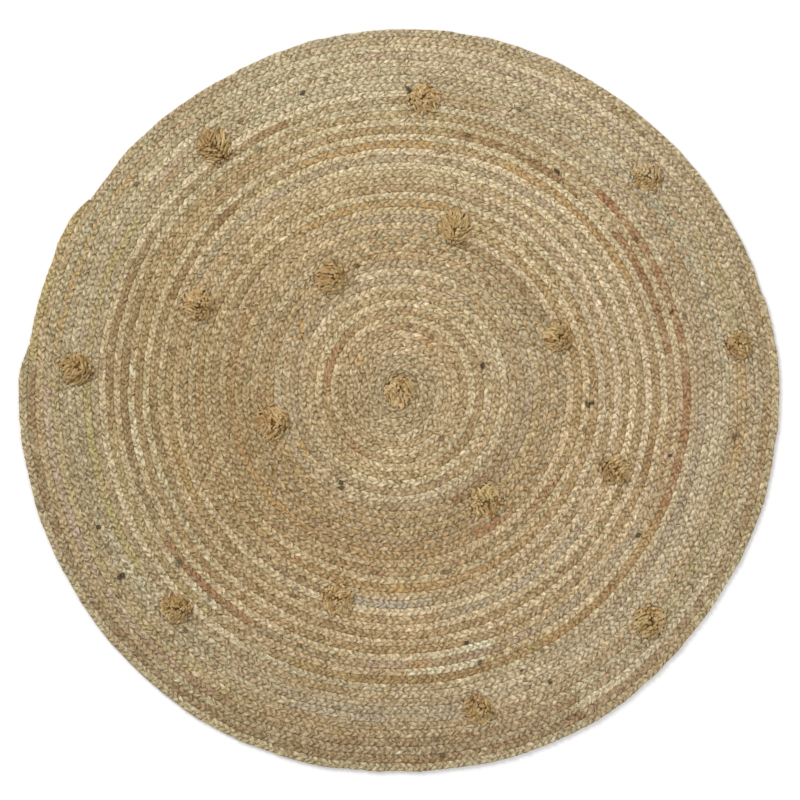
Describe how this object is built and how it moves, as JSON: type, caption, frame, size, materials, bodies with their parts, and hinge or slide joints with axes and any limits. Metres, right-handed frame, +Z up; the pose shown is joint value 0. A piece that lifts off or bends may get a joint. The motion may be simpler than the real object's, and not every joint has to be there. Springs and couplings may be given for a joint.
{
  "type": "round jute rug",
  "caption": "Flat round rug of braided jute, coiled outward from its middle and sewn turn to turn, with splayed jute pompoms sewn on its top.",
  "frame": {"origin": "middle of the rug's outline, on the floor under it", "axes": "+Z up out of the rug's top; +X along its slightly wider way; the coil opens clockwise seen from above"},
  "size_m": [1.2156, 1.1854, 0.0239],
  "materials": {
    "jute_braid": "matt three-strand jute braid in mixed sandy, cream, tan and grey-green shades, with rows of V-shaped stitches",
    "jute_yarn": "matt loose jute yarn, golden brown, dark between the strands"
  },
  "bodies": {
    "root": {"braided_field": "jute_braid", "pompom_01": "jute_yarn", "pompom_02": "jute_yarn", "pompom_03": "jute_yarn", "pompom_04": "jute_yarn", "pompom_05": "jute_yarn", "pompom_06": "jute_yarn", "pompom_07": "jute_yarn", "pompom_08": "jute_yarn", "pompom_09": "jute_yarn", "pompom_10": "jute_yarn", "pompom_11": "jute_yarn", "pompom_12": "jute_yarn", "pompom_13": "jute_yarn", "pompom_14": "jute_yarn", "pompom_15": "jute_yarn", "pompom_16": "jute_yarn", "pompom_17": "jute_yarn"}
  },
  "joints": []
}
